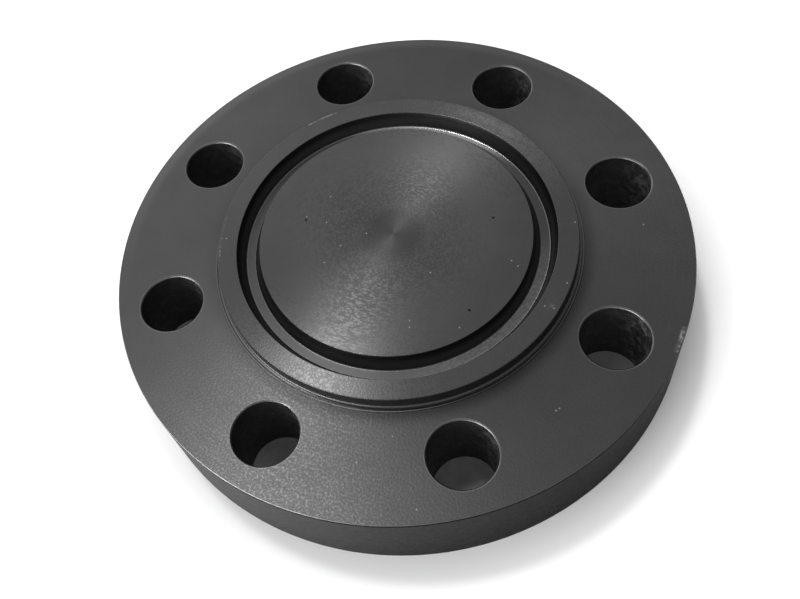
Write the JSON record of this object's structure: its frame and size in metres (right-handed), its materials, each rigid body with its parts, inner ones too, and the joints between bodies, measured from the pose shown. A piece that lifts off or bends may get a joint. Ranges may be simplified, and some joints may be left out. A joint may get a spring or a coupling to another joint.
{
  "type": "blind flange",
  "caption": "Thick round blind flange with a raised ring-joint face, a sloped ring groove and a circle of through bolt holes.",
  "frame": {"origin": "centre of the flat back face, on the flange's axis", "axes": "+Z along the flange's axis, out of the ring-joint face; the bolt holes stand astride +X and +Y"},
  "size_m": [0.29, 0.29, 0.0524],
  "materials": {
    "turned_steel": "turned forged steel, blackened and lightly oiled, fine concentric tool marks"
  },
  "bodies": {
    "root": {"blind_flange": "turned_steel"}
  },
  "joints": []
}
